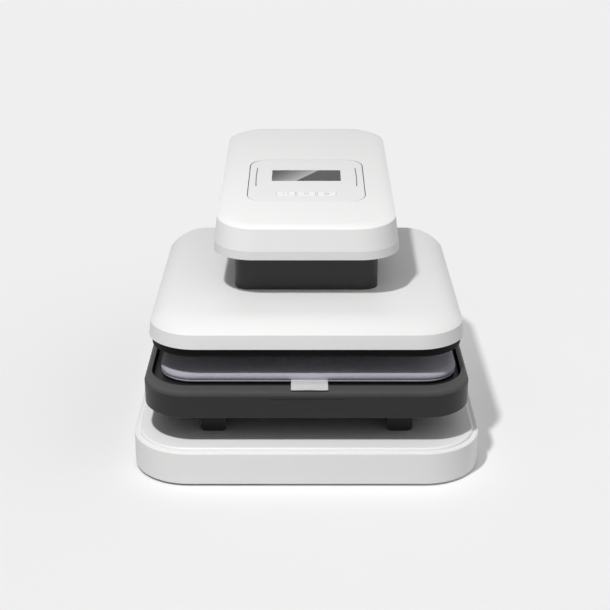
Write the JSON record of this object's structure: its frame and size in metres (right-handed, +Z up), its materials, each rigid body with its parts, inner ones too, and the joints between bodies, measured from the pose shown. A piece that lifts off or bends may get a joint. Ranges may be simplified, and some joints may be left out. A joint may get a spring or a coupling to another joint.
{
  "type": "automatic heat press",
  "caption": "Free-standing craft heat press: a geared motor in its arm lowers a heated square plate onto a cushion in a pull-out tray.",
  "frame": {"origin": "centre of the base outline on the surface it stands on", "axes": "+X to the right seen from the front, +Y from the front to the rear, +Z up"},
  "size_m": [0.456, 0.58, 0.3304],
  "materials": {
    "base_white": "satin white moulded plastic",
    "cover_white": "satin white moulded plastic",
    "head_white": "satin white moulded plastic",
    "panel_white": "smooth off-white plastic",
    "column_white": "satin white moulded plastic",
    "dark_plastic": "fine matt black-grey plastic",
    "skirt_black": "matt black heat-proof plastic",
    "rubber": "matt",
    "pad_cloth": "lilac-grey woven cloth",
    "tag_cloth": "white woven tape, unprinted",
    "window_glass": "smoked, glossy",
    "slit_dark": "dark light guide",
    "display_dark": "display, off",
    "plate_aluminium": "coated face",
    "insulation": "glass fibre felt",
    "sheet_steel": "galvanised sheet",
    "slide_steel": "rolled zinc-plated steel",
    "ball_steel": "polished",
    "screw_steel": "zinc-plated",
    "bright_steel": "ground",
    "bronze": "turned",
    "gear_plastic": "natural acetal",
    "cast_housing": "die cast",
    "motor_can": "dark plated can",
    "board": "green board with its parts",
    "sensor_steel": "bright",
    "black_plastic": "black"
  },
  "bodies": {
    "frame": {"base_shell": "base_white", "head_top_shell": "head_white", "head_bottom_cover": "head_white", "control_panel": "panel_white", "column_cover": "column_white", "rear_panel": "column_white", "base_feet": "rubber", "display_window": "window_glass", "light_slits": "slit_dark", "display_module": "display_dark", "base_plate": "sheet_steel", "base_chassis": "sheet_steel", "rail_brackets": "sheet_steel", "column_frame": "sheet_steel", "head_frame": "sheet_steel", "slide_fixed_members": "slide_steel", "screw_bearings": "ball_steel", "base_screws": "screw_steel", "rail_screws": "screw_steel", "frame_bolts": "screw_steel", "rear_screws": "screw_steel", "head_screws": "screw_steel", "board_screws": "screw_steel", "drive_screws": "screw_steel", "guide_bushings": "bronze", "bearing_housing": "cast_housing", "gear_motor": "motor_can", "control_board": "board", "power_board": "board", "power_inlet": "black_plastic", "switch_housing": "black_plastic"},
    "press_head": {"plate_cover": "cover_white", "plate_skirt": "skirt_black", "neck_cover": "dark_plastic", "heat_plate": "plate_aluminium", "heating_element": "bright_steel", "heat_sensors": "sensor_steel", "heat_blanket": "insulation", "carrier_plate": "sheet_steel", "standoffs": "screw_steel", "guide_rods": "bright_steel", "lift_nut": "bronze", "press_screws": "screw_steel"},
    "drawer": {"tray": "dark_plastic", "tray_plate": "sheet_steel", "tray_screws": "screw_steel", "press_pad": "pad_cloth", "pad_tag": "tag_cloth", "runner_covers": "dark_plastic", "slide_tray_members": "slide_steel"},
    "slide_middles": {"slide_middle_members": "slide_steel"},
    "cage_outer": {"ball_cages_outer": "ball_steel"},
    "cage_inner": {"ball_cages_inner": "ball_steel"},
    "screw_rotor": {"lead_screw": "bright_steel", "screw_gear": "gear_plastic"},
    "motor_output": {"motor_pinion": "bronze"},
    "left_key": {"key_left": "panel_white"},
    "middle_key": {"key_middle": "panel_white"},
    "right_key": {"key_right": "panel_white"},
    "rocker_button": {"rocker": "black_plastic"}
  },
  "joints": [
    {"name": "press_slide", "type": "slide", "parent": "frame", "child": "press_head", "axis": [0, 0, -1], "range_m": [0, 0.0262]},
    {"name": "tray_slide", "type": "slide", "parent": "frame", "child": "drawer", "axis": [0, -1, 0], "range_m": [0, 0.35]},
    {"name": "middles_slide", "type": "slide", "parent": "frame", "child": "slide_middles", "axis": [0, -1, 0], "range_m": [0, 0.175]},
    {"name": "outer_cage_slide", "type": "slide", "parent": "frame", "child": "cage_outer", "axis": [0, -1, 0], "range_m": [0, 0.0875]},
    {"name": "inner_cage_slide", "type": "slide", "parent": "frame", "child": "cage_inner", "axis": [0, -1, 0], "range_m": [0, 0.2625]},
    {"name": "screw_spin", "type": "hinge", "parent": "frame", "child": "screw_rotor", "pos_m": [0, -0.02105, 0.2615], "axis": [0, 0, 1], "range_deg": [0, 944]},
    {"name": "pinion_spin", "type": "hinge", "parent": "frame", "child": "motor_output", "pos_m": [0, 0.01495, 0.2615], "axis": [0, 0, 1], "range_deg": [-2830, 0]},
    {"name": "left_key_press", "type": "slide", "parent": "frame", "child": "left_key", "axis": [0, 0.0732, -0.9973], "range_m": [0, 0.0005], "stiffness_N_per_m": 2000, "springref_m": -0.0002},
    {"name": "middle_key_press", "type": "slide", "parent": "frame", "child": "middle_key", "axis": [0, 0.0732, -0.9973], "range_m": [0, 0.0005], "stiffness_N_per_m": 2000, "springref_m": -0.0002},
    {"name": "right_key_press", "type": "slide", "parent": "frame", "child": "right_key", "axis": [0, 0.0732, -0.9973], "range_m": [0, 0.0005], "stiffness_N_per_m": 2000, "springref_m": -0.0002},
    {"name": "rocker_tilt", "type": "hinge", "parent": "frame", "child": "rocker_button", "pos_m": [0.03, 0.27425, 0.086], "axis": [1, 0, 0], "range_deg": [-14, 0]}
  ],
  "couplings": [
    {"joint": "middles_slide", "follows": "tray_slide", "ratio": 0.5},
    {"joint": "outer_cage_slide", "follows": "tray_slide", "ratio": 0.25},
    {"joint": "inner_cage_slide", "follows": "tray_slide", "ratio": 0.75},
    {"joint": "screw_spin", "follows": "press_slide", "rad_per_m": 628.32},
    {"joint": "pinion_spin", "follows": "press_slide", "rad_per_m": -1885}
  ]
}
